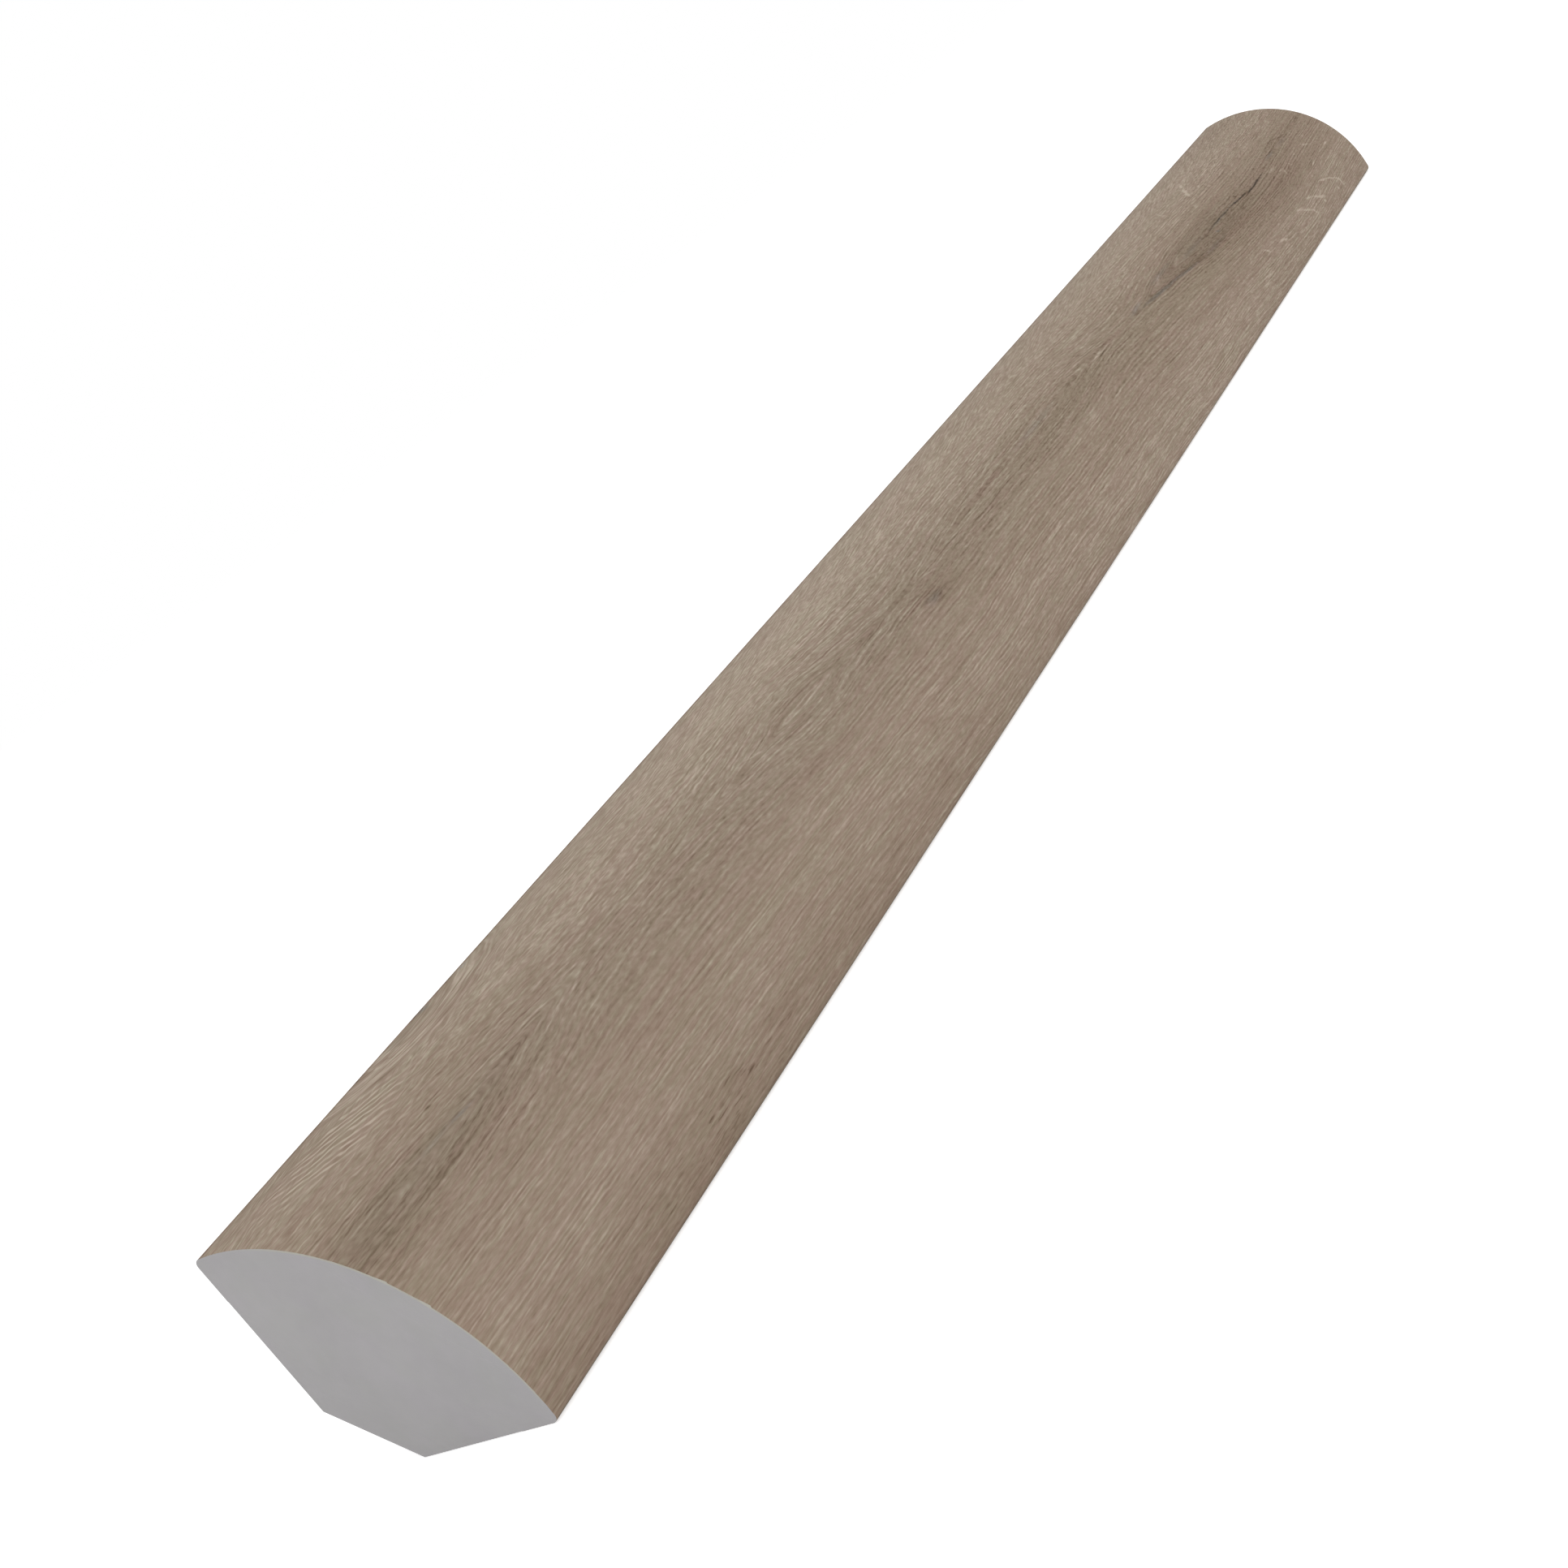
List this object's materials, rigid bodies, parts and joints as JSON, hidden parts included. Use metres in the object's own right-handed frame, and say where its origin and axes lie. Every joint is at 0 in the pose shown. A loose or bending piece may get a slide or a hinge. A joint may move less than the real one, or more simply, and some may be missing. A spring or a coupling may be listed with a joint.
{
  "type": "quarter round moulding",
  "caption": "Cut length of quarter round floor moulding, grey core with a wood print film over its round face and a chamfered heel; covers the gap between floor and wall.",
  "frame": {"origin": "on the floor flat's plane, under the middle of the moulding's bounding box", "axes": "+Y along the length towards the far end, -X out of the wall flat, -Z out of the floor flat, the round face towards +X and +Z"},
  "size_m": [0.019, 0.2666, 0.0191],
  "materials": {
    "core": "even grey extruded plastic, fine saw marks on the cut ends",
    "film": "low gloss greige oak print with fine grain along the length"
  },
  "bodies": {
    "root": {"core": "core", "wrap_film": "film"}
  },
  "joints": []
}
